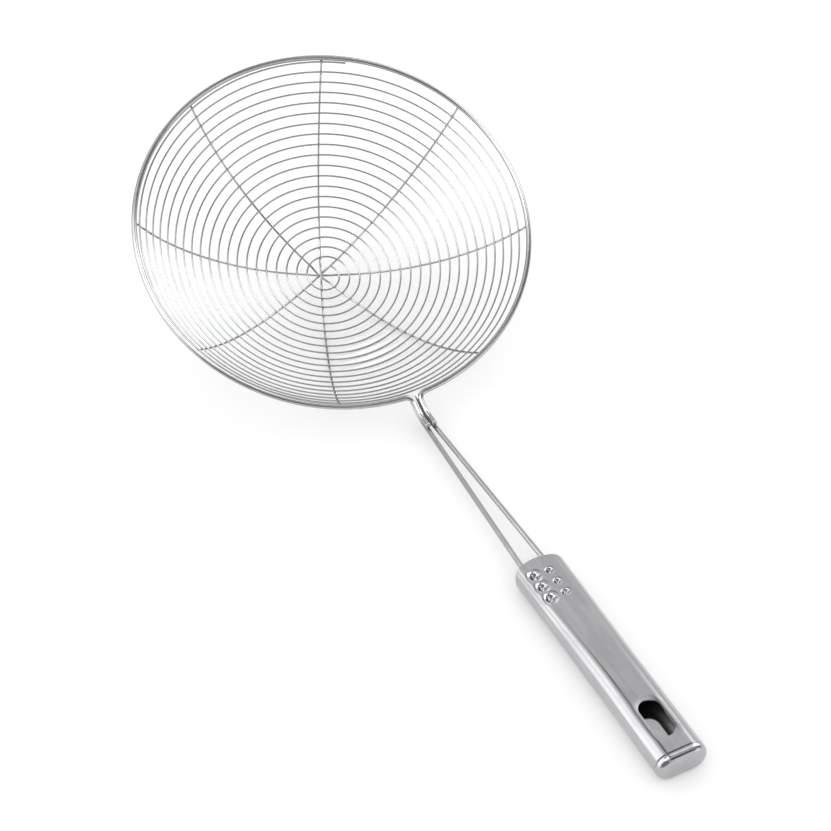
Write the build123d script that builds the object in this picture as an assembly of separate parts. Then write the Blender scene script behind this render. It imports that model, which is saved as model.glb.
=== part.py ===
from build123d import *
from math import acos, asin, atan2, ceil, cos, degrees, hypot, pi, radians, sin, sqrt, tan
import os

# Spider skimmer: a spiral-wound wire basket on a hoop, a two-rod wire neck and a hollow tube handle.
# It lies at rest on a table: the underside of the handle and the side of the bowl touch z = 0.
# Lengths are millimetres, angles are degrees.

# Basket
basket_diameter = 200.0       # over the hoop wire
bowl_depth = 55.5             # from the hoop's centreline to the ribs' centreline at the hub
hoop_wire = 2.7
rib_wire = 1.1
winding_wire = 0.9
weld_gap = 0.02               # clearance drawn between two wires that are welded together

# Through wires that carry the winding
rib_count = 4                 # each runs from rim to rim, so the basket shows twice as many ribs
first_rib_angle = 24.7        # from the neck, seen from above
crossing_shift = 2.0          # how far off the bowl's axis the ribs cross
crossing_shift_angle = -123.0
crossing_flat = 1.2           # length on each side of the crossing that a rib runs level over the others
crossing_reach = 9.0          # distance from the crossing where a rib is back on the bowl

# Winding
winding_turns = 19.85
winding_start = 6.6           # along the bowl, from its middle to the first turn
winding_start_angle = 100.0   # from the neck
winding_shift = 0.8           # how far the innermost turn sits off the bowl's axis
winding_shift_angle = 20.0
tail_angle = 112.0            # the inner end of the winding runs out from the crossing this way
tail_inner = 0.6              # distance of the inner end from the crossing
tail_outer = 6.0              # distance at which the tail starts to curl
tail_lift = 0.16              # how far the tail stands clear of the topmost rib

# Neck
neck_wire = 2.5
hoop_gap = 11.4               # between the points where the hoop wire leaves its circle
leg_spacing = 3.36            # centre to centre, the hoop's two turned-out ends and the rods below them
leg_reach = 12.05             # from the hoop's centreline to the bend of the neck
neck_bend_radius = 14.0       # centreline of the rods
leg_tip = 5.5                 # length of the hoop's ends past the bend
rod_tuck = 0.4                # how far the rods reach in past the hoop's centreline
neck_length = 116.5           # from the bend to the handle's mouth
neck_bow_radius = 6.1         # closed end of the rods, inside the handle

# Handle
tube_diameter = 19.0          # the round tube that is pressed flat-oval
tube_wall = 0.6
rear_thickness = 12.7
front_thickness = 9.7
shell_length = 113.7          # from the mouth's corners to the rear edge
mouth_crown = 4.0             # how far the mouth bulges past its corners
mouth_corner_radius = 4.5
swell_length = 76.0           # stretch over which the section grows to the rear thickness
slot_length = 19.5
slot_width = 9.2
slot_setback = 16.9           # from the rear edge to the middle of the slot

# Punched dimples that hold the neck in the handle
dimple_rows = 3
dimple_first = 3.4            # from the mouth's corners
dimple_pitch = 7.3
dimple_spacing = 6.6          # between the two columns
dimple_mouth_radius = 1.8
dimple_tip_radius = 0.45
dimple_depth = 3.3
seat_gap = 0.15               # between the neck's closed end and the last dimples

# End cap
cap_depth = 3.7
cap_shoulder_radius = 3.0
cap_skirt = 5.0
cap_wall = 0.6
cap_seam = 0.12               # visible line between shell and cap
cap_fit = 0.05                # clearance of the skirt in the shell

overrun = 5.0                 # how far a cut runs past what it cuts

# Shares and counts
tip_rounding_share = 0.6      # rounding of a wire's end, of its radius
heading_step_share = 1e-6     # step along the winding that its direction is measured over
swell_steps = 8               # lofts that the handle's growing stretch is made of
points_per_turn = 48          # at which the winding's gap is measured
stance_rounds = 5             # the ribs' reach to the table depends a little on the tilt itself

# Radii and circles
hoop_radius = hoop_wire / 2
rib_radius = rib_wire / 2
winding_radius = winding_wire / 2
neck_radius = neck_wire / 2
rim_radius = basket_diameter / 2 - hoop_radius
neck_bend_reach = rim_radius + leg_reach

# The ribs lie on a sphere through the hoop's centreline, and the winding on one inside it
bowl_radius = (rim_radius**2 + bowl_depth**2) / (2 * bowl_depth)
bowl_centre_height = bowl_radius - bowl_depth
winding_sphere = bowl_radius - rib_radius - winding_radius - weld_gap
rib_pitch_angle = 180 / rib_count
crossing_step = rib_wire + weld_gap
top_crossing_offset = crossing_step * (rib_count - 1) / 2
crossing = Vector(
    crossing_shift * cos(radians(crossing_shift_angle)),
    crossing_shift * sin(radians(crossing_shift_angle)),
    0,
)

# Neck and stance: rods lie under the hoop's ends, and the handle lies level on the table
leg_drop = hoop_radius + neck_radius + weld_gap
winding_reach = winding_sphere + winding_radius
rib_reach = bowl_radius + rib_radius
stance_arm = hypot(neck_bend_reach, bowl_centre_height + leg_drop)
stance_angle = atan2(neck_bend_reach, bowl_centre_height + leg_drop)
rib_off_neck = radians(first_rib_angle % rib_pitch_angle)
rib_off_neck = min(rib_off_neck, radians(rib_pitch_angle) - rib_off_neck)
tilt = stance_angle - acos((winding_reach - rear_thickness / 2) / stance_arm)
for _ in range(stance_rounds):
    reach = max(winding_reach, rib_reach * sqrt(1 - (sin(tilt) * sin(rib_off_neck)) ** 2))
    tilt = stance_angle - acos((reach - rear_thickness / 2) / stance_arm)

# Handle sections keep the tube's perimeter
tube_perimeter = pi * tube_diameter
mouth_x = neck_length
rear_x = mouth_x + shell_length
slot_x = rear_x - slot_setback
end_x = rear_x + cap_seam + cap_depth
last_row_x = mouth_x + dimple_first + (dimple_rows - 1) * dimple_pitch

# Places in the working frame: the neck's bend is at x = 0, the handle's axis at z = 0
hoop_centre_x = -neck_bend_reach * cos(tilt) + leg_drop * sin(tilt)
hoop_centre_z = neck_bend_reach * sin(tilt) + leg_drop * cos(tilt)
far_x = hoop_centre_x - rim_radius * cos(tilt) - hoop_radius
row_origin = Vector((far_x + end_x) / 2, 0, -rear_thickness / 2)
to_row = Location(-row_origin)
bowl_plane = Plane(
    origin=(hoop_centre_x, 0, hoop_centre_z),
    x_dir=(cos(tilt), 0, -sin(tilt)),
    z_dir=(sin(tilt), 0, cos(tilt)),
)


def rod(path, radius):
    """A round wire along a path."""
    start = Plane(origin=path @ 0, z_dir=path % 0)
    return sweep(start * Circle(radius), path=path)


def biarc(start, start_tangent, end, end_tangent):
    """Two arcs that leave one point along its tangent and reach the next along its own."""
    chord = end - start
    both = start_tangent + end_tangent
    square = both.dot(both) - 4
    cross = chord.dot(both)
    reach = (cross - sqrt(cross**2 - square * chord.dot(chord))) / square
    middle = (start + start_tangent * reach + end - end_tangent * reach) / 2
    middle_tangent = (end - end_tangent * reach - start - start_tangent * reach).normalized()
    return [
        TangentArc(start, middle, tangent=start_tangent),
        TangentArc(middle, end, tangent=middle_tangent),
    ]


def crossing_share(distance):
    """How much of its offset at the crossing a rib still has at a distance from it."""
    along = (distance - crossing_flat) / (crossing_reach - crossing_flat)
    if along <= 0:
        return 1.0
    if along < 0.5:
        return 1 - 2 * along**2
    return 2 * max(0.0, 1 - along) ** 2


def rounded_tips(wire, count):
    """A wire solid with its cut ends rounded."""
    flat = wire.faces().filter_by(GeomType.PLANE)
    radius = sqrt(flat[0].area / pi)
    return fillet(ShapeList(flat[:count]).edges(), radius * tip_rounding_share)


# Basket pieces, drawn in the bowl's own frame: the hoop's centre is the origin, +X points at the neck
def rim_hoop():
    """One wire: a circle whose two ends turn out and up and lie on the neck rods."""
    half_gap = hoop_gap / 2
    leg_y = leg_spacing / 2
    leave = asin(half_gap / rim_radius)
    tangent_length = (half_gap - leg_y) / cos(leave)
    corner_x = rim_radius * cos(leave) + tangent_length * sin(leave)
    bend_x = neck_bend_reach - leg_drop * tan(tilt / 2)
    bend_tangent = (neck_bend_radius - leg_drop) * tan(tilt / 2)
    rise = Vector(cos(tilt), 0, sin(tilt))
    leave_point = Vector(rim_radius * cos(leave), half_gap, 0)
    leave_tangent = Vector(sin(leave), -cos(leave), 0)
    leg_start = Vector(corner_x + tangent_length, leg_y, 0)
    bend_start = Vector(bend_x - bend_tangent, leg_y, 0)
    bend_end = Vector(bend_x, leg_y, 0) + rise * bend_tangent
    tip = bend_end + rise * leg_tip
    turn_out = TangentArc(leave_point, leg_start, tangent=leave_tangent)
    side = [
        turn_out,
        Line(leg_start, bend_start),
        TangentArc(bend_start, bend_end, tangent=(1, 0, 0)),
        Line(bend_end, tip),
    ]
    round_the_bowl = ThreePointArc(leave_point, (-rim_radius, 0, 0), (leave_point.X, -leave_point.Y, 0))
    other_side = [edge.mirror(Plane.XZ) for edge in side]
    path = Wire(side + [round_the_bowl] + other_side)
    start = Plane(origin=tip, z_dir=-rise)
    wire = sweep(start * Circle(hoop_radius), path=path)
    return rounded_tips(wire, 2)


def rib(index):
    """One through wire: straight in plan, on the bowl from rim to rim, and stepped where the ribs cross."""
    direction = first_rib_angle + index * rib_pitch_angle
    crossing_angle = radians(crossing_shift_angle - direction)
    aside = crossing_shift * sin(crossing_angle)
    radius = sqrt(bowl_radius**2 - aside**2)
    raised = radius - crossing_step * index + top_crossing_offset
    middle = asin(crossing_shift * cos(crossing_angle) / radius)
    end = asin(sqrt(rim_radius**2 - aside**2) / radius) - (hoop_radius + weld_gap) / radius
    out = crossing_reach / radius
    level = crossing_flat / radius

    def place(angle, reach):
        return Vector(reach * sin(angle), aside, bowl_centre_height - reach * cos(angle))

    def heading(angle):
        return Vector(cos(angle), 0, sin(angle))

    def arc(start, stop, reach):
        return ThreePointArc(place(start, reach), place((start + stop) / 2, reach), place(stop, reach))

    def step(start, start_reach, stop, stop_reach):
        return biarc(place(start, start_reach), heading(start), place(stop, stop_reach), heading(stop))

    edges = [arc(-end, middle - out, radius)]
    edges += step(middle - out, radius, middle - level, raised)
    edges += [arc(middle - level, middle + level, raised)]
    edges += step(middle + level, raised, middle + out, radius)
    edges += [arc(middle + out, end, radius)]
    return Rotation(0, 0, direction) * rod(Wire(edges), rib_radius)


def winding_place(turns):
    """Centre of the winding wire, a number of turns out from its start."""
    outer = asin((rim_radius - hoop_radius - winding_radius - weld_gap) / winding_sphere) * winding_sphere
    along = winding_start + (outer - winding_start) * turns / winding_turns
    angle = radians(winding_start_angle) - 2 * pi * turns
    shift = winding_shift * (1 - turns / winding_turns)
    reach = winding_sphere * sin(along / winding_sphere)
    x = reach * cos(angle) + shift * cos(radians(winding_shift_angle))
    y = reach * sin(angle) + shift * sin(radians(winding_shift_angle))
    return on_winding_sphere(x, y)


def on_winding_sphere(x, y):
    """The winding's centre above a place in plan: inside the ribs, and over their crossing."""
    offset = top_crossing_offset * crossing_share(hypot(x - crossing.X, y - crossing.Y))
    return Vector(x, y, bowl_centre_height - sqrt((winding_sphere - offset) ** 2 - x**2 - y**2))


def winding_heading(turns):
    """Direction in which the winding runs."""
    step = winding_turns * heading_step_share
    return (winding_place(turns + step) - winding_place(turns - step)).normalized()


def winding_path():
    """The whole winding as one chain of arcs, two to each quarter turn, with straight ends."""
    quarters = ceil(winding_turns * 4)
    stops = [winding_turns * i / quarters for i in range(quarters + 1)]
    out = Vector(cos(radians(tail_angle)), sin(radians(tail_angle)), 0)
    inner = crossing + out * tail_inner
    curl = crossing + out * tail_outer
    inner = on_winding_sphere(inner.X, inner.Y) + Vector(0, 0, tail_lift)
    curl = on_winding_sphere(curl.X, curl.Y)
    edges = [Line(inner, curl)]
    edges += biarc(curl, (curl - inner).normalized(), winding_place(0), winding_heading(0))
    for start, end in zip(stops, stops[1:]):
        edges += biarc(winding_place(start), winding_heading(start), winding_place(end), winding_heading(end))
    last = winding_place(winding_turns)
    edges.append(Line(last, last + winding_heading(winding_turns) * winding_wire))
    return Wire(edges)


def winding_gap():
    """Least free space between one turn and the next, measured on points of the centreline."""
    count = int(winding_turns * points_per_turn)
    places = [winding_place(winding_turns * i / count) for i in range(count + 1)]
    least = bowl_radius
    for i, place in enumerate(places):
        for other in places[i + points_per_turn // 2:i + 2 * points_per_turn]:
            least = min(least, (place - other).length)
    return least - winding_wire


def basket_winding():
    """The spiral, one unbroken wire on top of the ribs."""
    return rod(winding_path(), winding_radius)


# Neck and handle pieces, drawn in the working frame
def neck_rods():
    """One wire bent double: two rods from under the hoop's ends to a closed bow inside the handle."""
    rod_y = leg_spacing / 2
    bow_inner = neck_bow_radius - neck_radius
    held = bow_inner - dimple_flank_radius() - seat_gap
    bow_x = last_row_x - sqrt(max(0.0, held**2 - (dimple_spacing / 2) ** 2))
    spread = asin(neck_bow_radius / hypot(bow_x, rod_y)) - atan2(rod_y, bow_x)
    heading = Vector(cos(spread), sin(spread), 0)
    back = leg_reach + rod_tuck
    inner_end = Vector(-back * cos(tilt), rod_y, back * sin(tilt))
    bend = Vector(0, rod_y, 0)
    bow_start = Vector(bow_x - neck_bow_radius * sin(spread), neck_bow_radius * cos(spread), 0)
    side = FilletPolyline(inner_end, bend, bow_start, radius=neck_bend_radius)
    bow = TangentArc(bow_start, (bow_start.X, -bow_start.Y, 0), tangent=heading)
    other = side.mirror(Plane.XZ)
    path = Wire(side.edges() + [bow] + other.edges())
    start = Plane(origin=inner_end, z_dir=bend - inner_end)
    return sweep(start * Circle(neck_radius), path=path)


def oval_width(thickness):
    """Width of the pressed tube: its perimeter stays the round tube's."""
    return (tube_perimeter - pi * thickness) / 2 + thickness


def flat_oval(thickness, inset=0.0):
    """The pressed tube's section, taken in by an inset."""
    return SlotOverall(oval_width(thickness) - 2 * inset, thickness - 2 * inset)


def section_at(x, thickness, inset=0.0):
    """A flat-oval section across the handle at a place along it."""
    return Plane(origin=(x, 0, 0), x_dir=(0, 1, 0), z_dir=(1, 0, 0)) * flat_oval(thickness, inset)


def oval_bar(inset, front, rear):
    """A solid bar along the handle: flattest at the mouth, and of even thickness from the slot's stretch on."""
    swell_x = mouth_x + swell_length
    bar = extrude(section_at(front, front_thickness, inset), mouth_x - front)
    for i in range(swell_steps):
        pair = []
        for step in (i, i + 1):
            share = step / swell_steps
            growth = share + share**2 - share**3
            thickness = front_thickness + (rear_thickness - front_thickness) * growth
            pair.append(section_at(mouth_x + swell_length * share, thickness, inset))
        bar += loft(pair, ruled=True)
    return bar + extrude(section_at(swell_x, rear_thickness, inset), rear - swell_x)


def dimple_places():
    """Centres of the dimples in plan."""
    places = []
    for row in range(dimple_rows):
        for side in (-1, 1):
            places.append((mouth_x + dimple_first + row * dimple_pitch, side * dimple_spacing / 2))
    return places


def dimple_flank_radius():
    """Radius of a dimple's inner bump, level with the top of the neck wire."""
    share = min(1.0, (front_thickness / 2 - neck_radius) / dimple_depth)
    return dimple_mouth_radius + (dimple_tip_radius - dimple_mouth_radius) * share + tube_wall


def dimple_cone(place, face, inset):
    """A dimple as a cone from the face inwards, or its bump when an inset thickens it."""
    top = front_thickness / 2
    cone = Cone(dimple_mouth_radius + inset, dimple_tip_radius + inset, dimple_depth,
                align=(Align.CENTER, Align.CENTER, Align.MIN))
    return Pos(place[0], place[1], face * top) * Rotation(180 if face > 0 else 0, 0, 0) * cone


def handle_shell():
    """The pressed tube: dimpled in front, slotted behind, open at both ends."""
    front = mouth_x - mouth_crown - overrun
    solid = oval_bar(0.0, front, rear_x)
    hollow = oval_bar(tube_wall, front - overrun, rear_x + overrun)
    for place in dimple_places():
        for face in (1, -1):
            hollow -= dimple_cone(place, face, tube_wall)
    shell = solid - hollow
    for place in dimple_places():
        for face in (1, -1):
            shell -= dimple_cone(place, face, 0.0)
    slot = Pos(slot_x, 0, 0) * extrude(SlotOverall(slot_length, slot_width), rear_thickness, both=True)
    return (shell - slot) & mouth_outline()


def mouth_outline():
    """A plate in plan whose front edge bulges and has round corners, for trimming the mouth."""
    half = oval_width(front_thickness) / 2
    side = half + overrun
    crown = ThreePointArc((mouth_x, half), (mouth_x - mouth_crown, 0), (mouth_x, -half))
    back = Polyline((mouth_x, -half), (mouth_x + side, -half), (mouth_x + side, -side),
                    (rear_x + overrun, -side), (rear_x + overrun, side), (mouth_x + side, side),
                    (mouth_x + side, half), (mouth_x, half))
    face = make_face([crown] + back.edges())
    corners = face.vertices().sort_by(Axis.X)[:2]
    return extrude(fillet(corners, mouth_corner_radius), rear_thickness, both=True)


def handle_end_cap():
    """A pressed cap: its skirt slides into the shell and its dome closes the end."""
    seat_x = rear_x + cap_seam
    dome = extrude(section_at(seat_x, rear_thickness), cap_depth)
    rim = dome.faces().sort_by(Axis.X)[-1].edges()
    dome = fillet(rim, cap_shoulder_radius)
    inside = extrude(section_at(seat_x, rear_thickness, cap_wall), cap_depth - cap_wall)
    inner_rim = inside.faces().sort_by(Axis.X)[-1].edges()
    inside = fillet(inner_rim, cap_shoulder_radius - cap_wall)
    skirt_inset = tube_wall + cap_fit
    skirt = extrude(section_at(rear_x - cap_skirt, rear_thickness, skirt_inset), cap_skirt + cap_seam + cap_wall)
    bore = extrude(section_at(rear_x - cap_skirt, rear_thickness, skirt_inset + cap_wall), cap_skirt + overrun)
    cavity = inside & bore
    throat = extrude(section_at(rear_x - cap_skirt, rear_thickness, skirt_inset + cap_wall),
                     cap_skirt + cap_seam + cap_wall)
    return dome + skirt - cavity - throat


def build():
    """Every piece in the row frame, by name."""
    pieces = {
        "rim_hoop": bowl_plane.location * rim_hoop(),
        "basket_winding": bowl_plane.location * basket_winding(),
        "neck_rods": neck_rods(),
        "handle_shell": handle_shell(),
        "handle_end_cap": handle_end_cap(),
    }
    for i in range(rib_count):
        pieces[f"rib_wire_{i + 1}"] = bowl_plane.location * rib(i)
    return {name: to_row * piece for name, piece in pieces.items()}


pieces = build()
os.makedirs("parts", exist_ok=True)
for name, piece in pieces.items():
    export_step(piece, f"parts/{name}.step")

print("bowl tilt", round(degrees(tilt), 2), "degrees")
print("least gap between turns of the winding", round(winding_gap(), 2), "mm")
print("hoop centre", round(hoop_centre_x - row_origin.X, 2), round(hoop_centre_z - row_origin.Z, 2))
print("slot centre", round(slot_x - row_origin.X, 2), "mouth", round(mouth_x - row_origin.X, 2))
print("length", round(end_x - far_x, 1))
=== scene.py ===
"""Looks of the spider skimmer: wire basket, two-rod neck and pressed tube handle, in stainless steel."""

import math

import bmesh
import bpy
from mathutils import Matrix, Vector


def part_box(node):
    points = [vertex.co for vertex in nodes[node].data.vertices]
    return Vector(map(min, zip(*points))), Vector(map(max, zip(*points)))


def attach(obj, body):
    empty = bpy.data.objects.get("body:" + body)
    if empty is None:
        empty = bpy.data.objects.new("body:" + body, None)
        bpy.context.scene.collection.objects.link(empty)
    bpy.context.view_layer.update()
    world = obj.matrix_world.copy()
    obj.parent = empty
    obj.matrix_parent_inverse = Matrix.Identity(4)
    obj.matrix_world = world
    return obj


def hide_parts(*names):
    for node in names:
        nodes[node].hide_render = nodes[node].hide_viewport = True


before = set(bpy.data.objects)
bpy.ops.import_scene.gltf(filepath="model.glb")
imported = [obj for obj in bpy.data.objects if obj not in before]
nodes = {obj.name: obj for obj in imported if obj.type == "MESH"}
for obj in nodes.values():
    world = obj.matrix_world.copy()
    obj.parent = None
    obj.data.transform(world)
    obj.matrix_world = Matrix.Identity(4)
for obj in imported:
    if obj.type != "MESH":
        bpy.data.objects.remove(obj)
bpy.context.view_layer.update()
scene = bpy.context.scene

MM = 0.001
TINY = 1e-6
SMOOTH_BELOW = 35             # degrees between two faces that are shaded as one

# ---------------------------------------------------------------- camera

CAMERA_PLACE = (0.54936, -0.229385, 0.539392)
CAMERA_RIGHT = (0.4228346, 0.9031098, -0.0748570)
CAMERA_UP = (-0.5673318, 0.3282251, 0.7552502)
CAMERA_BACK = (0.7066438, -0.2768772, 0.6511479)
FOCAL_PIXELS = 1700.0
FRAME_PIXELS = 831.0
SENSOR_MM = 36.0
SHIFT_PIXELS = (-0.5, 0.5)


def place_camera():
    """The photograph's viewpoint."""
    data = bpy.data.cameras.new("camera")
    data.sensor_width = SENSOR_MM
    data.lens = FOCAL_PIXELS / FRAME_PIXELS * SENSOR_MM
    data.clip_start = 0.01
    data.shift_x = SHIFT_PIXELS[0] / FRAME_PIXELS
    data.shift_y = SHIFT_PIXELS[1] / FRAME_PIXELS
    camera = bpy.data.objects.new("camera", data)
    scene.collection.objects.link(camera)
    columns = (CAMERA_RIGHT, CAMERA_UP, CAMERA_BACK, CAMERA_PLACE)
    rows = [[column[i] for column in columns] for i in range(3)]
    camera.matrix_world = Matrix(rows + [[0, 0, 0, 1]])
    scene.camera = camera


place_camera()
scene.view_settings.view_transform = "Standard"

# ---------------------------------------------------------------- sizes of the handle, as in the CAD

SHELL_LOW, SHELL_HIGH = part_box("handle_shell")
CAP_LOW, CAP_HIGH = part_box("handle_end_cap")
AXIS_HEIGHT = (SHELL_LOW.z + SHELL_HIGH.z) / 2
REAR_THICKNESS = SHELL_HIGH.z - SHELL_LOW.z
FRONT_THICKNESS = 9.7 * MM
PERIMETER = math.pi * 19.0 * MM
MOUTH_CROWN = 4.0 * MM
MOUTH_X = SHELL_LOW.x + MOUTH_CROWN
SWELL_LENGTH = 76.0 * MM
WALL = 0.6 * MM
MOUTH_CORNER = 4.5 * MM
SLOT_X = SHELL_HIGH.x - 16.9 * MM
SLOT_LENGTH = 19.5 * MM
SLOT_WIDTH = 9.2 * MM
DIMPLE_FIRST = 5.6 * MM
DIMPLE_PITCH = 7.3 * MM
LARGE_DIMPLES = (-5.2 * MM, ((0.9 * MM, 4.2 * MM), (2.0 * MM, 2.4 * MM)))
SMALL_DIMPLES = (2.1 * MM, ((0.35 * MM, 2.8 * MM), (1.7 * MM, 1.8 * MM)))
DIMPLED_STRETCH = 24.0 * MM
EDGE_ROUNDING = 0.3 * MM
CAP_SEAM = 0.12 * MM
CAP_SHOULDER = 3.0 * MM
CAP_SKIRT = 5.0 * MM
CAP_GAP = 0.05 * MM
MOUTH_OVERRUN = 0.6 * MM      # how far the tube runs past the line it is trimmed to
DISHED_REACH = 16 * MM        # stretch on each side of the slot's middle that gets a fine mesh
SLOT_DISH = (0.6 * MM, 7.4 * MM)
PUNCH_TIP = 0.22 * MM
BLOCK_HEIGHT = 30 * MM
END_INSET = 0.2 * MM
RING_ARC = 96                 # vertices in the round parts of a section
ROUND_VERTICES = 96           # in a whole round corner or slot end
CROWN_VERTICES = 360
FACE_CUTS = 47                # divisions of the tube's flat faces, and of its length below
MOUTH_CUTS = 13
DIMPLED_CUTS = 79
SWELL_STEPS = 18
DISHED_CUTS = 65
CAP_FACE_CUTS = 15
SHOULDER_STEPS = 12

# ---------------------------------------------------------------- basket and neck

# in millimetres, as in the CAD

TILT = math.radians(29.115)
HOOP_CENTRE = (-120.961, 62.502)
BOWL_RADIUS = 115.424
BOWL_CENTRE_HEIGHT = 59.924
RIB_COUNT = 4
RIB_RADIUS = 0.55
HOOP_RADIUS = 98.65           # of the hoop's centreline
HOOP_WIRE_RADIUS = 1.35
WINDING_WIRE_RADIUS = 0.45
WELD_GAP = 0.02
RIB_END = 97.92
FIRST_RIB_ANGLE = 24.7
CROSSING_SHIFT = 2.0
CROSSING_SHIFT_ANGLE = -123.0
CROSSING_REACH = 9.5
WINDING_SPHERE = BOWL_RADIUS - (RIB_RADIUS + WINDING_WIRE_RADIUS + WELD_GAP)
WINDING_TURNS = 19.85
WINDING_START = 6.6
WINDING_REACH = HOOP_RADIUS - HOOP_WIRE_RADIUS - WINDING_WIRE_RADIUS - WELD_GAP
WINDING_END = WINDING_SPHERE * math.asin(WINDING_REACH / WINDING_SPHERE)
WINDING_START_ANGLE = 100.0
WINDING_SHIFT = 0.8
WINDING_SHIFT_ANGLE = 20.0
PLAN_STEPS = 96
NECK_LENGTH = 116.5
NECK_RADIUS = 1.26
LEG_SPACING = 3.36

# welds: length, width and height of a lump, and their places along the neck from its bend
CROSSING_WELD = (0.7, 0.7, 0.5)
RIB_END_WELD = (0.9, 0.9, 0.75)
NECK_WELD = (1.1, 1.0, 0.45)
ROD_WELD_RUNS = (1.6, 4.2)
LEG_WELD_RUNS = (3.4, 7.4)

# ---------------------------------------------------------------- modelling helpers


def deselect_all():
    for item in list(bpy.context.selected_objects):
        item.select_set(False)


def make_active(piece):
    deselect_all()
    piece.select_set(True)
    bpy.context.view_layer.objects.active = piece


def edit(piece):
    make_active(piece)
    bpy.ops.object.mode_set(mode="EDIT")


def leave():
    bpy.ops.object.mode_set(mode="OBJECT")


def settle(piece):
    """Puts a piece's place into its mesh, so its object sits at the origin."""
    make_active(piece)
    bpy.ops.object.transform_apply(location=True, rotation=True, scale=True)


def pick(piece, kind, test):
    """Selects the vertices, edges or faces, in edit mode, that pass a test."""
    bpy.ops.mesh.select_mode(type=kind)
    bpy.ops.mesh.select_all(action="DESELECT")
    mesh = bmesh.from_edit_mesh(piece.data)
    elements = {"VERT": mesh.verts, "EDGE": mesh.edges, "FACE": mesh.faces}[kind]
    for element in elements:
        if test(element):
            element.select_set(True)
    mesh.select_flush_mode()
    bmesh.update_edit_mesh(piece.data)


def oval_width(thickness):
    """Width of the pressed tube, whose perimeter stays the round tube's."""
    return (PERIMETER - math.pi * thickness) / 2 + thickness


def half_flat(thickness):
    """Half the width of a section's flat face."""
    return (oval_width(thickness) - thickness) / 2


def apply_modifier(piece, kind, **settings):
    make_active(piece)
    modifier = piece.modifiers.new(kind, kind)
    for key, value in settings.items():
        setattr(modifier, key, value)
    bpy.ops.object.modifier_apply(modifier=modifier.name)


def smooth(piece):
    make_active(piece)
    bpy.ops.object.shade_smooth_by_angle(angle=math.radians(SMOOTH_BELOW))


def hull_of(name, parts):
    """One closed block around several shapes."""
    deselect_all()
    for part in parts:
        part.select_set(True)
    bpy.context.view_layer.objects.active = parts[0]
    bpy.ops.object.join()
    block = bpy.context.object
    block.name = name
    settle(block)
    edit(block)
    bpy.ops.mesh.select_all(action="SELECT")
    bpy.ops.mesh.convex_hull()
    leave()
    return block


def upright(radius, x, y, vertices):
    """A round block that stands through the handle."""
    deselect_all()
    bpy.ops.mesh.primitive_cylinder_add(vertices=vertices, radius=radius, depth=BLOCK_HEIGHT,
                                        location=(x, y, AXIS_HEIGHT))
    return bpy.context.object


# ---------------------------------------------------------------- handle shell


def oval_ring(name, x, thickness, flat_cuts, out):
    """A flat-oval ring across the handle: a circle pulled apart, with its two long edges divided."""
    deselect_all()
    bpy.ops.mesh.primitive_circle_add(vertices=RING_ARC, radius=thickness / 2, location=(x, 0, AXIS_HEIGHT),
                                      rotation=(0, math.pi / 2, 0))
    ring = bpy.context.object
    ring.name = name
    settle(ring)
    edit(ring)
    bpy.ops.transform.rotate(value=math.pi / RING_ARC, orient_axis="X", center_override=(x, 0, AXIS_HEIGHT))
    for side in (1, -1):
        pick(ring, "VERT", lambda v: v.co.y * side > 0)
        bpy.ops.transform.translate(value=(0, side * out, 0))
    pick(ring, "EDGE", lambda e: e.calc_length() > out)
    bpy.ops.mesh.subdivide(number_cuts=flat_cuts)
    return ring


def extrude_to(x, reach):
    """Draws the selected ring along the handle."""
    bpy.ops.mesh.extrude_region_move(TRANSFORM_OT_translate={"value": (reach - x, 0, 0)})
    return reach


def chosen(piece):
    """Numbers of the vertices that are selected."""
    mesh = bmesh.from_edit_mesh(piece.data)
    mesh.verts.index_update()
    return {vertex.index for vertex in mesh.verts if vertex.select}


def reshape(piece, x, old, new):
    """Changes the selected ring at x from one thickness and half flat to another."""
    ring = chosen(piece)
    old_flat = old[1]
    new_flat = new[1]
    share = new[0] / old[0]
    centre = (x, 0, AXIS_HEIGHT)
    bpy.ops.transform.resize(value=(1, 1, share), center_override=centre)
    if new_flat != old_flat:
        pick(piece, "VERT", lambda v: v.index in ring and abs(v.co.y) <= old_flat)
        bpy.ops.transform.resize(value=(1, new_flat / old_flat, 1), center_override=centre)
    for side in (1, -1):
        pick(piece, "VERT", lambda v: v.index in ring and v.co.y * side > max(old_flat, new_flat))
        bpy.ops.transform.resize(value=(1, share, 1), center_override=(x, side * old_flat, AXIS_HEIGHT))
        bpy.ops.transform.translate(value=(0, side * (new_flat - old_flat), 0))
    pick(piece, "VERT", lambda v: v.index in ring)


def section_at(x):
    """Thickness and half flat of the handle at a place along it."""
    share = min(1.0, max(0.0, (x - MOUTH_X) / SWELL_LENGTH))
    growth = share + share**2 - share**3
    thickness = FRONT_THICKNESS + (REAR_THICKNESS - FRONT_THICKNESS) * growth
    return thickness, half_flat(thickness)


def cut_lengthwise(piece, low, high, cuts):
    """Divides the stretch of shell between two stations."""
    def spans(edge):
        places = [vertex.co.x for vertex in edge.verts]
        return min(places) < low + TINY and max(places) > high - TINY

    pick(piece, "EDGE", spans)
    bpy.ops.mesh.subdivide(number_cuts=cuts)


def dent(piece, places, depth, reach):
    """Pushes the sheet in around a place or a row of places, as a punch does."""
    for side in (1, -1):
        level = AXIS_HEIGHT + side * 0.25 * FRONT_THICKNESS
        pick(piece, "VERT", lambda v: (v.co.z - level) * side > 0 and any(
            math.hypot(v.co.x - x, v.co.y - y) < PUNCH_TIP for x, y in places))
        bpy.ops.transform.translate(value=(0, 0, -side * depth), use_proportional_edit=True,
                                    proportional_edit_falloff="SMOOTH", proportional_size=reach)


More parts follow.
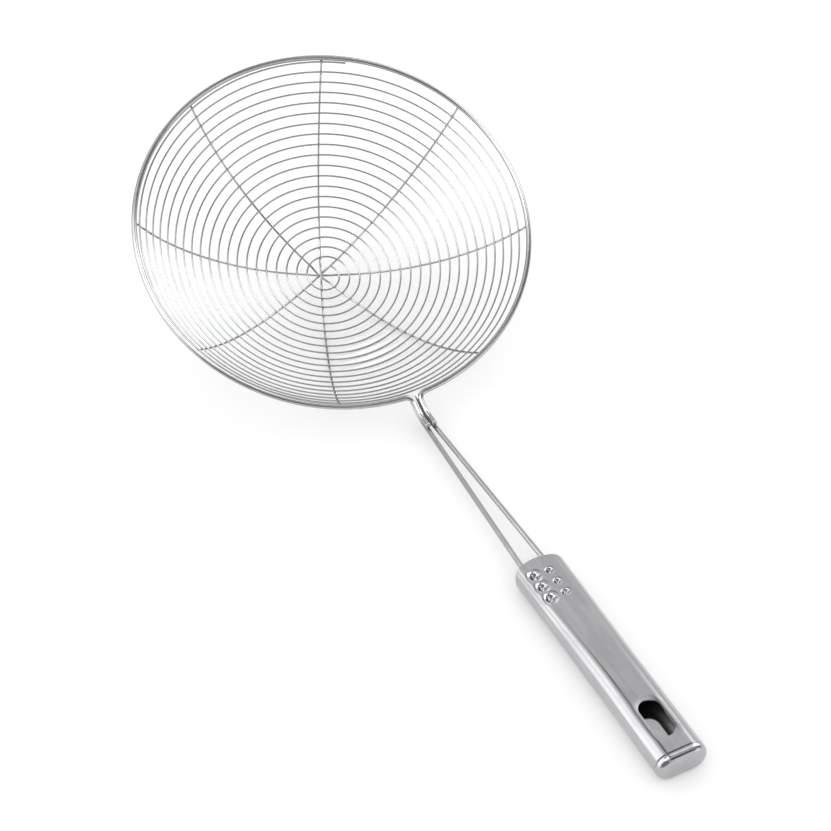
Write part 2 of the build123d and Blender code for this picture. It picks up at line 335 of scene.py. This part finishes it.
def mouth_block():
    """The outline that the mouth is trimmed to: a bulged front edge with round corners."""
    half = oval_width(FRONT_THICKNESS) / 2
    crown_radius = (half**2 + MOUTH_CROWN**2) / (2 * MOUTH_CROWN)
    centre_x = SHELL_LOW.x + crown_radius
    corner_y = half - MOUTH_CORNER
    corner_x = centre_x - math.sqrt((crown_radius - MOUTH_CORNER) ** 2 - corner_y**2)
    tangent_y = crown_radius * corner_y / (crown_radius - MOUTH_CORNER)
    crown = upright(crown_radius, centre_x, 0, vertices=CROWN_VERTICES)
    edit(crown)
    bpy.ops.mesh.select_mode(type="VERT")
    mesh = bmesh.from_edit_mesh(crown.data)
    for vertex in mesh.verts:
        vertex.select_set(vertex.co.x > -crown_radius * 0.5 or abs(vertex.co.y) > tangent_y)
    mesh.select_flush_mode()
    bmesh.update_edit_mesh(crown.data)
    bpy.ops.mesh.delete(type="VERT")
    leave()
    corners = [upright(MOUTH_CORNER, corner_x, side * corner_y, vertices=ROUND_VERTICES) for side in (1, -1)]
    deselect_all()
    bpy.ops.mesh.primitive_cube_add(size=1, location=(SHELL_HIGH.x + 5 * MM, 0, AXIS_HEIGHT),
                                    scale=(2 * MM, 2 * half + 2 * MM, 0.03))
    return hull_of("mouth_outline", [crown] + corners + [bpy.context.object])


def slot_block():
    """The hang slot's outline."""
    run = (SLOT_LENGTH - SLOT_WIDTH) / 2
    ends = [upright(SLOT_WIDTH / 2, SLOT_X + side * run, 0, vertices=ROUND_VERTICES) for side in (1, -1)]
    return hull_of("slot_outline", ends)


def model_shell():
    """The pressed tube: swollen to the rear, punched in front, dished and slotted behind."""
    front_x = SHELL_LOW.x - MOUTH_OVERRUN
    dimpled_x = MOUTH_X + DIMPLED_STRETCH
    swollen_x = MOUTH_X + SWELL_LENGTH
    dished_x = SLOT_X - DISHED_REACH
    edge_x = SHELL_HIGH.x - EDGE_ROUNDING
    stations = [MOUTH_X, dimpled_x]
    stations += [dimpled_x + (swollen_x - dimpled_x) * (i + 1) / SWELL_STEPS for i in range(SWELL_STEPS)]
    stations += [dished_x, edge_x]
    shell = oval_ring("pressed_handle", front_x, FRONT_THICKNESS, FACE_CUTS, half_flat(FRONT_THICKNESS))
    pick(shell, "VERT", lambda v: True)
    x = front_x
    old = section_at(x)
    for station in stations:
        x = extrude_to(x, station)
        new = section_at(station)
        reshape(shell, x, old, new)
        old = new
    x = extrude_to(x, SHELL_HIGH.x)
    reshape(shell, x, old, (old[0] - 2 * EDGE_ROUNDING, old[1]))
    cut_lengthwise(shell, front_x, MOUTH_X, MOUTH_CUTS)
    cut_lengthwise(shell, MOUTH_X, dimpled_x, DIMPLED_CUTS)
    cut_lengthwise(shell, dished_x, edge_x, DISHED_CUTS)
    bpy.ops.mesh.select_all(action="SELECT")
    bpy.ops.mesh.normals_make_consistent(inside=False)
    for row in range(3):
        for y, blows in (LARGE_DIMPLES, SMALL_DIMPLES):
            for depth, reach in blows:
                dent(shell, [(MOUTH_X + DIMPLE_FIRST + row * DIMPLE_PITCH, y)], depth, reach)
    run = (SLOT_LENGTH - SLOT_WIDTH) / 2
    dent(shell, [(SLOT_X + run * k / 16, 0) for k in range(-16, 17)], *SLOT_DISH)
    leave()
    shell.data.materials.append(handle_steel)
    # The tube's inner faces take the second material, whose base colour is painted darker as shade.
    shell.data.materials.append(tube_inside_painted_dark)
    apply_modifier(shell, "SOLIDIFY", thickness=WALL, offset=-1, use_even_offset=True, material_offset=1)
    for block, action in ((mouth_block(), "INTERSECT"), (slot_block(), "DIFFERENCE")):
        apply_modifier(shell, "BOOLEAN", object=block, operation=action, solver="EXACT")
        bpy.data.objects.remove(block)
    return shell


# ---------------------------------------------------------------- end cap


def model_cap():
    """The pressed cap: a hollow skirt in the tube, a seam line, a round shoulder and a flat end."""
    flat = half_flat(REAR_THICKNESS)
    seat_x = CAP_LOW.x + CAP_SKIRT + CAP_SEAM
    skirt = REAR_THICKNESS - 2 * (WALL + CAP_GAP)
    pocket = skirt - 2 * WALL
    pocket_x = CAP_HIGH.x - 0.8 * CAP_SHOULDER
    shoulder_x = CAP_HIGH.x - CAP_SHOULDER
    rings = [
        (CAP_LOW.x, pocket),
        (CAP_LOW.x, skirt),
        (seat_x, skirt),
        (seat_x, REAR_THICKNESS - 2 * EDGE_ROUNDING),
        (seat_x + EDGE_ROUNDING, REAR_THICKNESS),
        (shoulder_x, REAR_THICKNESS),
    ]
    for i in range(1, SHOULDER_STEPS + 1):
        turn = math.pi / 2 * i / SHOULDER_STEPS
        inset = CAP_SHOULDER * (1 - math.cos(turn))
        rings.append((shoulder_x + CAP_SHOULDER * math.sin(turn), REAR_THICKNESS - 2 * inset))
    cap = oval_ring("end_cap", pocket_x, pocket, CAP_FACE_CUTS, flat)
    pick(cap, "VERT", lambda v: True)
    x = pocket_x
    old = pocket
    for station, thickness in rings:
        x = extrude_to(x, station)
        reshape(cap, x, (old, flat), (thickness, flat))
        old = thickness
    bpy.ops.mesh.edge_face_add()
    bpy.ops.mesh.inset(thickness=END_INSET)
    pick(cap, "VERT", lambda v: (
        abs(v.co.x - pocket_x) < TINY
        and abs(v.co.z - AXIS_HEIGHT) < pocket / 2 + TINY
        and abs(v.co.y) < flat + pocket / 2 + TINY))
    bpy.ops.mesh.edge_face_add()
    bpy.ops.mesh.select_all(action="SELECT")
    bpy.ops.mesh.normals_make_consistent(inside=False)
    leave()
    cap.data.materials.append(cap_steel)
    return cap


# ---------------------------------------------------------------- welds


def bowl_place(x, y, z):
    """A place in the bowl's own frame, in millimetres, as a place in the row's frame."""
    along = HOOP_CENTRE[0] + x * math.cos(TILT) + z * math.sin(TILT)
    up = HOOP_CENTRE[1] - x * math.sin(TILT) + z * math.cos(TILT)
    return Vector((along, y, up)) * MM


def winding_in_plan(turns):
    """The winding's centreline, seen down the bowl's axis."""
    along = WINDING_START + (WINDING_END - WINDING_START) * turns / WINDING_TURNS
    angle = math.radians(WINDING_START_ANGLE) - 2 * math.pi * turns
    shift = WINDING_SHIFT * (1 - turns / WINDING_TURNS)
    reach = WINDING_SPHERE * math.sin(along / WINDING_SPHERE)
    return (reach * math.cos(angle) + shift * math.cos(math.radians(WINDING_SHIFT_ANGLE)),
            reach * math.sin(angle) + shift * math.sin(math.radians(WINDING_SHIFT_ANGLE)))


def rib_line(index):
    """Direction of a rib in plan, and how far it passes the bowl's axis."""
    way = math.radians(FIRST_RIB_ANGLE + index * 180 / RIB_COUNT)
    return way, CROSSING_SHIFT * math.sin(math.radians(CROSSING_SHIFT_ANGLE) - way)


def crossing_spots():
    """Where the winding lies on a rib, outside the stretch where the ribs step over each other."""
    spots = []
    for index in range(RIB_COUNT):
        way, aside = rib_line(index)
        before = None
        for step in range(int(WINDING_TURNS * PLAN_STEPS) + 1):
            x, y = winding_in_plan(step / PLAN_STEPS)
            off = y * math.cos(way) - x * math.sin(way) - aside
            if before and off * before[2] < 0:
                share = before[2] / (before[2] - off)
                spots.append((before[0] + (x - before[0]) * share, before[1] + (y - before[1]) * share))
            before = (x, y, off)
    return [spot for spot in spots if math.hypot(*spot) > CROSSING_REACH]


def weld_lumps(name, lumps):
    """Small lumps of weld metal, each at a place, flattened along a direction."""
    deselect_all()
    bpy.ops.mesh.primitive_uv_sphere_add(segments=8, ring_count=6, radius=1)
    pattern = bpy.context.object
    bpy.ops.object.shade_smooth()
    copies = []
    for place, out, size in lumps:
        copy = pattern.copy()
        copy.data = pattern.data.copy()
        scene.collection.objects.link(copy)
        turn = out.to_track_quat("Z", "X").to_matrix().to_4x4()
        scale = Matrix.Diagonal((size[0] * MM, size[1] * MM, size[2] * MM, 1))
        copy.matrix_world = Matrix.Translation(place) @ turn @ scale
        copies.append(copy)
    bpy.data.objects.remove(pattern)
    deselect_all()
    for copy in copies:
        copy.select_set(True)
    bpy.context.view_layer.objects.active = copies[0]
    bpy.ops.object.join()
    welds = bpy.context.object
    welds.name = name
    settle(welds)
    welds.data.materials.append(weld_steel)
    return welds


def basket_lumps():
    """Welds where the winding crosses the ribs, and where the ribs end on the hoop."""
    centre = bowl_place(0, 0, BOWL_CENTRE_HEIGHT)
    contact = BOWL_RADIUS - RIB_RADIUS
    lumps = []
    for x, y in crossing_spots():
        place = bowl_place(x, y, BOWL_CENTRE_HEIGHT - math.sqrt(contact**2 - x**2 - y**2))
        lumps.append((place, (place - centre).normalized(), CROSSING_WELD))
    for index in range(RIB_COUNT):
        way, aside = rib_line(index)
        for side in (1, -1):
            run = side * math.sqrt(RIB_END**2 - aside**2)
            x = run * math.cos(way) - aside * math.sin(way)
            y = run * math.sin(way) + aside * math.cos(way)
            place = bowl_place(x, y, BOWL_CENTRE_HEIGHT - math.sqrt(BOWL_RADIUS**2 - RIB_END**2))
            lumps.append((place, (place - centre).normalized(), RIB_END_WELD))
    return lumps


def neck_lumps():
    """Weld between the hoop's two turned-out ends and the rods that they lie on."""
    bend_x = MOUTH_X / MM - NECK_LENGTH
    axis = AXIS_HEIGHT / MM
    lumps = []
    for side in (1, -1):
        y = side * LEG_SPACING / 2
        for run in ROD_WELD_RUNS:
            place = Vector((bend_x + run, y, axis + NECK_RADIUS)) * MM
            lumps.append((place, Vector((0, 0, 1)), NECK_WELD))
        for run in LEG_WELD_RUNS:
            x = bend_x - run * math.cos(TILT) + NECK_RADIUS * math.sin(TILT)
            z = axis + run * math.sin(TILT) + NECK_RADIUS * math.cos(TILT)
            out = Vector((math.sin(TILT), 0, math.cos(TILT)))
            lumps.append((Vector((x, y, z)) * MM, out, NECK_WELD))
    return lumps


# ---------------------------------------------------------------- finishes


def effect(name, inputs, outputs):
    """An empty node group with named sockets."""
    group = bpy.data.node_groups.new(name, "ShaderNodeTree")
    for label, kind in inputs:
        group.interface.new_socket(label, in_out="INPUT", socket_type=kind)
    for label in outputs:
        group.interface.new_socket(label, in_out="OUTPUT", socket_type="NodeSocketFloat")
    return group, group.nodes.new("NodeGroupInput"), group.nodes.new("NodeGroupOutput")


def feed(tree, socket, value):
    """Sets a socket to a number, or links it to another socket."""
    if isinstance(value, bpy.types.NodeSocket):
        tree.links.new(value, socket)
    else:
        socket.default_value = value


def node_of(tree, kind, settings=None, **inputs):
    node = tree.nodes.new(kind)
    for key, value in (settings or {}).items():
        setattr(node, key, value)
    for label, value in inputs.items():
        feed(tree, node.inputs[label.replace("_", " ")], value)
    return node


def ranged(tree, value, low, high, to_low, to_high):
    node = node_of(tree, "ShaderNodeMapRange", {"interpolation_type": "SMOOTHSTEP"}, Value=value)
    for label, number in (("From Min", low), ("From Max", high), ("To Min", to_low), ("To Max", to_high)):
        node.inputs[label].default_value = number
    return node.outputs["Result"]


def stretched(tree, place, stretch):
    node = node_of(tree, "ShaderNodeVectorMath", {"operation": "MULTIPLY"})
    tree.links.new(place, node.inputs[0])
    tree.links.new(stretch, node.inputs[1])
    return node.outputs["Vector"]


def noise(tree, vector, detail):
    return node_of(tree, "ShaderNodeTexNoise", None, Vector=vector, Scale=1.0, Detail=detail).outputs["Fac"]


def grain_effect():
    """Fine lines or grains left by rolling and drawing: a height, and a tone from pale, 0, to dark, 1."""
    sockets = (("Place", "NodeSocketVector"), ("Stretch", "NodeSocketVector"))
    group, entry, out = effect("drawn_grain", sockets, ("Height", "Tone"))
    place = stretched(group, entry.outputs["Place"], entry.outputs["Stretch"])
    fine = noise(group, place, 2.0)
    group.links.new(fine, out.inputs["Height"])
    wide = node_of(group, "ShaderNodeVectorMath", {"operation": "SCALE"}, Scale=0.31)
    group.links.new(place, wide.inputs[0])
    tone = noise(group, wide.outputs["Vector"], 3.0)
    group.links.new(ranged(group, tone, 0.3, 0.7, 0, 1), out.inputs["Tone"])
    return group


def smudge_effect():
    """Where hands and cloths have left the steel a little duller."""
    sockets = (("Place", "NodeSocketVector"), ("Stretch", "NodeSocketVector"))
    group, entry, out = effect("handling_smudges", sockets, ("Mask",))
    place = stretched(group, entry.outputs["Place"], entry.outputs["Stretch"])
    cloud = noise(group, place, 4.0)
    group.links.new(ranged(group, cloud, 0.38, 0.66, 0, 1), out.inputs["Mask"])
    return group


def scuff_effect():
    """Sparse short marks: crossed fields of stretched noise, cut high."""
    sockets = (("Place", "NodeSocketVector"), ("Stretch", "NodeSocketVector"))
    group, entry, out = effect("short_scuffs", sockets, ("Mask",))
    place = stretched(group, entry.outputs["Place"], entry.outputs["Stretch"])
    turned = node_of(group, "ShaderNodeVectorRotate", {"rotation_type": "Z_AXIS"}, Vector=place, Angle=0.6)
    lines = ranged(group, noise(group, place, 1.0), 0.79, 0.83, 0, 1)
    other = ranged(group, noise(group, turned.outputs["Vector"], 1.0), 0.8, 0.84, 0, 1)
    both = node_of(group, "ShaderNodeMath", {"operation": "MAXIMUM"})
    group.links.new(lines, both.inputs[0])
    group.links.new(other, both.inputs[1])
    group.links.new(both.outputs["Value"], out.inputs["Mask"])
    return group


drawn_grain = grain_effect()
handling_smudges = smudge_effect()
short_scuffs = scuff_effect()


def placed(tree, group, place, stretch):
    node = tree.nodes.new("ShaderNodeGroup")
    node.node_tree = group
    tree.links.new(place, node.inputs["Place"])
    node.inputs["Stretch"].default_value = stretch
    return node


def blended(tree, share, first, second):
    node = node_of(tree, "ShaderNodeMix", {"data_type": "RGBA"})
    feed(tree, node.inputs[0], share)
    feed(tree, node.inputs[6], first)
    feed(tree, node.inputs[7], second)
    return node.outputs[2]


def steel(name, pale, dull, marked, smooth_value, dull_value, grain, grain_depth, smudge, scuff):
    """Stainless steel with grain, handling smudges and short scuffs."""
    material = bpy.data.materials.new(name)
    material.use_nodes = True
    tree = material.node_tree
    shader = tree.nodes["Principled BSDF"]
    shader.inputs["Metallic"].default_value = 1
    place = tree.nodes.new("ShaderNodeTexCoord").outputs["Object"]
    grains = placed(tree, drawn_grain, place, grain)
    smudges = placed(tree, handling_smudges, place, smudge)
    scuffs = placed(tree, short_scuffs, place, scuff)
    streaked = blended(tree, grains.outputs["Tone"], (*pale, 1), (*dull, 1))
    smudged = blended(tree, smudges.outputs["Mask"], streaked, (*dull, 1))
    tree.links.new(blended(tree, scuffs.outputs["Mask"], smudged, (*marked, 1)), shader.inputs["Base Color"])
    sheen = node_of(tree, "ShaderNodeMath", {"operation": "MAXIMUM"})
    tree.links.new(smudges.outputs["Mask"], sheen.inputs[0])
    tree.links.new(scuffs.outputs["Mask"], sheen.inputs[1])
    roughness = ranged(tree, sheen.outputs["Value"], 0, 1, smooth_value, dull_value)
    tree.links.new(roughness, shader.inputs["Roughness"])
    bump = node_of(tree, "ShaderNodeBump", None, Height=grains.outputs["Height"], Distance=grain_depth)
    tree.links.new(bump.outputs["Normal"], shader.inputs["Normal"])
    return material


ALONG = (60, 1400, 1400)
ROUND_ABOUT = (900, 900, 900)
handle_steel = steel(
    "handle_steel", pale=(0.525, 0.52, 0.525), dull=(0.45, 0.44, 0.458), marked=(0.38, 0.38, 0.38),
    smooth_value=0.14, dull_value=0.21, grain=ALONG, grain_depth=1.2e-6,
    smudge=(45, 110, 110), scuff=(500, 1400, 1400))
# Inside of the tube: rougher, unpolished steel, and its base colour painted darker as painted shade for the
# dark inside of the closed tube.
tube_inside_painted_dark = steel(
    "tube_inside_painted_dark", pale=(0.3, 0.3, 0.31), dull=(0.22, 0.22, 0.23), marked=(0.18, 0.18, 0.18),
    smooth_value=0.4, dull_value=0.5, grain=ALONG, grain_depth=4e-6,
    smudge=(60, 120, 120), scuff=(500, 1400, 1400))
cap_steel = steel(
    "cap_steel", pale=(0.52, 0.515, 0.52), dull=(0.45, 0.45, 0.465), marked=(0.38, 0.38, 0.38),
    smooth_value=0.13, dull_value=0.22, grain=ROUND_ABOUT, grain_depth=0.8e-6,
    smudge=(90, 110, 110), scuff=(1400, 500, 1400))
wire_steel = steel(
    "wire_steel", pale=(0.49, 0.49, 0.49), dull=(0.42, 0.425, 0.435), marked=(0.36, 0.36, 0.36),
    smooth_value=0.1, dull_value=0.18, grain=ROUND_ABOUT, grain_depth=0.5e-6,
    smudge=(60, 60, 60), scuff=(900, 900, 900))
weld_steel = steel(
    "weld_steel", pale=(0.5, 0.49, 0.47), dull=(0.4, 0.39, 0.37), marked=(0.3, 0.29, 0.27),
    smooth_value=0.28, dull_value=0.4, grain=ROUND_ABOUT, grain_depth=6e-6,
    smudge=(200, 200, 200), scuff=(900, 900, 900))

# ---------------------------------------------------------------- the pieces, on their body

for name, node in nodes.items():
    node.data.materials.clear()
    node.data.materials.append(handle_steel if name.startswith("handle") else wire_steel)

shell = model_shell()
smooth(shell)
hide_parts("handle_shell")
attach(shell, "root")

cap = model_cap()
smooth(cap)
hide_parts("handle_end_cap")
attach(cap, "root")

for welds in (weld_lumps("basket_welds", basket_lumps()), weld_lumps("neck_welds", neck_lumps())):
    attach(welds, "root")

# ---------------------------------------------------------------- surroundings

world = bpy.data.worlds.new("studio")
scene.world = world
world.use_nodes = True
tree = world.node_tree
background = tree.nodes["Background"]
background.inputs["Color"].default_value = (1, 1, 1, 1)
coordinates = tree.nodes.new("ShaderNodeTexCoord")


def toward(azimuth, elevation):
    a = math.radians(azimuth)
    e = math.radians(elevation)
    return (math.cos(e) * math.cos(a), math.cos(e) * math.sin(a), math.sin(e))


def region(value, azimuth, elevation, radius, soft, level):
    """Mixes a soft round region of another brightness into the surroundings."""
    dot = node_of(tree, "ShaderNodeVectorMath", {"operation": "DOT_PRODUCT"})
    tree.links.new(coordinates.outputs["Generated"], dot.inputs[0])
    dot.inputs[1].default_value = toward(azimuth, elevation)
    near = math.cos(math.radians(max(0, radius - soft)))
    far = math.cos(math.radians(radius + soft))
    mix = node_of(tree, "ShaderNodeMix", {"data_type": "FLOAT"})
    tree.links.new(ranged(tree, dot.outputs["Value"], far, near, 0, 1), mix.inputs[0])
    feed(tree, mix.inputs[2], value)
    mix.inputs[3].default_value = level
    return mix.outputs[0]


OPEN_LEVEL = 0.85
# azimuth, elevation, radius and softness in degrees, and the level there
REGIONS = (
    (132, 30, 34, 8, 0.85),
    (262, 30, 32, 5, 2.1),
    (103, 42, 20, 5, 3.2),
    (92, 63, 11, 5, 3.2),
    (285, 74, 15, 5, 4.5),
    (170, 27, 8, 5, 1.6),
    (38, 13, 14, 6, 1.7),
    (215, 47, 8, 4, 2.1),
    (204, 52, 6, 3, 1.6),
    (161, 57, 5, 4, 0.1),
    (26, 42, 14, 5, 0.06),
    (225, 67, 8, 4, 0.05),
    (322, 23, 35, 9, 0.27),
    (72, 30, 14, 6, 0.15),
    (208, 15, 13, 6, 0.12),
    (77, 75, 9, 4, 0.08),
    (68, 53, 9, 4, 0.1),
)
surround = OPEN_LEVEL
for azimuth, elevation, radius, soft, level in REGIONS:
    surround = region(surround, azimuth, elevation, radius, soft, level)
paths = tree.nodes.new("ShaderNodeLightPath")
pick_path = tree.nodes.new("ShaderNodeMix")
pick_path.data_type = "FLOAT"
tree.links.new(paths.outputs["Is Glossy Ray"], pick_path.inputs[0])
pick_path.inputs[2].default_value = 1.0
tree.links.new(surround, pick_path.inputs[3])
tree.links.new(pick_path.outputs[0], background.inputs["Strength"])

deselect_all()
bpy.ops.mesh.primitive_plane_add(size=6)
floor = bpy.context.object
floor.name = "floor"
floor_material = bpy.data.materials.new("floor")
floor_material.use_nodes = True
paper = floor_material.node_tree.nodes["Principled BSDF"].inputs
paper["Base Color"].default_value = (0.88, 0.88, 0.88, 1)
paper["Emission Color"].default_value = (1, 1, 1, 1)
paper["Emission Strength"].default_value = 0.2
paper["Roughness"].default_value = 1
paper["Specular IOR Level"].default_value = 0
floor.data.materials.append(floor_material)
